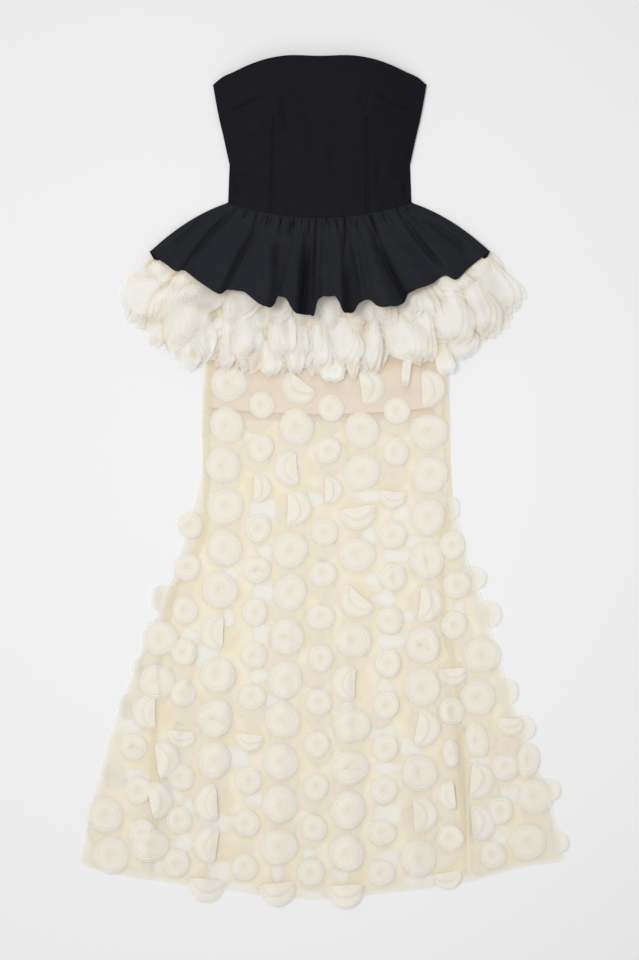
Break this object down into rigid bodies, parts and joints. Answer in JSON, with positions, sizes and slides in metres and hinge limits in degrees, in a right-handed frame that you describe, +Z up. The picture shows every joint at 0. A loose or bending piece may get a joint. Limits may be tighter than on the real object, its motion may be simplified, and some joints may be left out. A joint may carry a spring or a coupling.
{
  "type": "strapless gown",
  "caption": "Strapless gown laid flat: darted bodice, gathered peplum, ruffle of organza petals and a sheer flared skirt with round appliques over a short slip.",
  "frame": {"origin": "on the table, under the middle of the gown's box", "axes": "+Y towards the neckline along the wearer's height, +X towards the wearer's left, +Z up from the table through the front"},
  "size_m": [0.8424, 1.4848, 0.0688],
  "materials": {
    "black_faille": "matt black ribbed faille with a faint sheen",
    "zip_tape": "matt black woven tape",
    "cream_organza": "sheer cream organza with a soft silk sheen",
    "blush_lining": "smooth matt blush lining"
  },
  "bodies": {
    "root": {"bodice_front": "black_faille", "bodice_back_left": "black_faille", "bodice_back_right": "black_faille", "zip_tape": "zip_tape", "peplum_front": "black_faille", "peplum_back_left": "black_faille", "peplum_back_right": "black_faille", "ruffle_front_upper": "cream_organza", "ruffle_front_lower": "cream_organza", "ruffle_back": "cream_organza", "skirt_front": "cream_organza", "skirt_back_left": "cream_organza", "skirt_back_right": "cream_organza", "slip_front": "blush_lining", "slip_back_left": "blush_lining", "slip_back_right": "blush_lining"}
  },
  "joints": []
}
